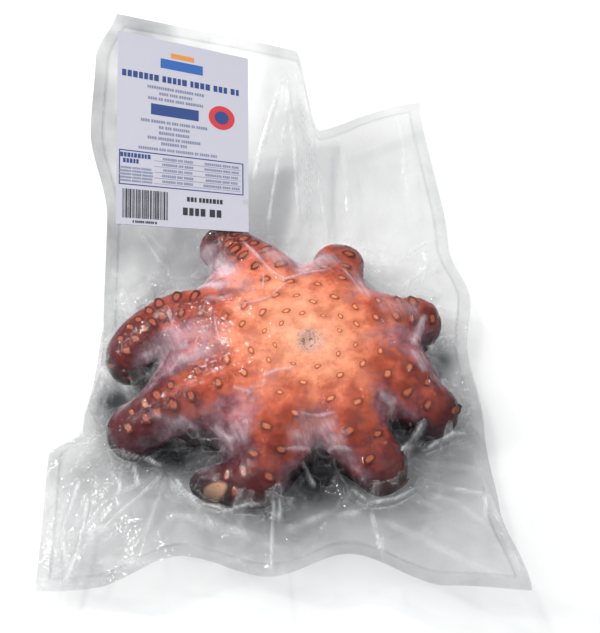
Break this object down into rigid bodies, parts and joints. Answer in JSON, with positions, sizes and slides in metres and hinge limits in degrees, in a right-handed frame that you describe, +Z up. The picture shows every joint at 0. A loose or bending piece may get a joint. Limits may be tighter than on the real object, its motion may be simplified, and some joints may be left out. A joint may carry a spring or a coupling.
{
  "type": "vacuum-packed whole cooked octopus",
  "caption": "Whole cooked octopus, oral side up with its arms curled under, sealed tight in a clear vacuum pouch with a paper label on a raised flap.",
  "frame": {"origin": "on the flat underside of the pack, straight below the octopus's mouth", "axes": "+Z up out of the surface that the pack lies on, +Y along the pouch from its near flap towards the labelled far flap, +X to the right seen from the near end"},
  "size_m": [0.326, 0.4498, 0.1169],
  "materials": {
    "octopus_flesh": "gloss",
    "label_paper": "satin",
    "clear_film": "gloss"
  },
  "bodies": {
    "root": {"vacuum_pack": "octopus_flesh", "label": "label_paper"}
  },
  "joints": []
}
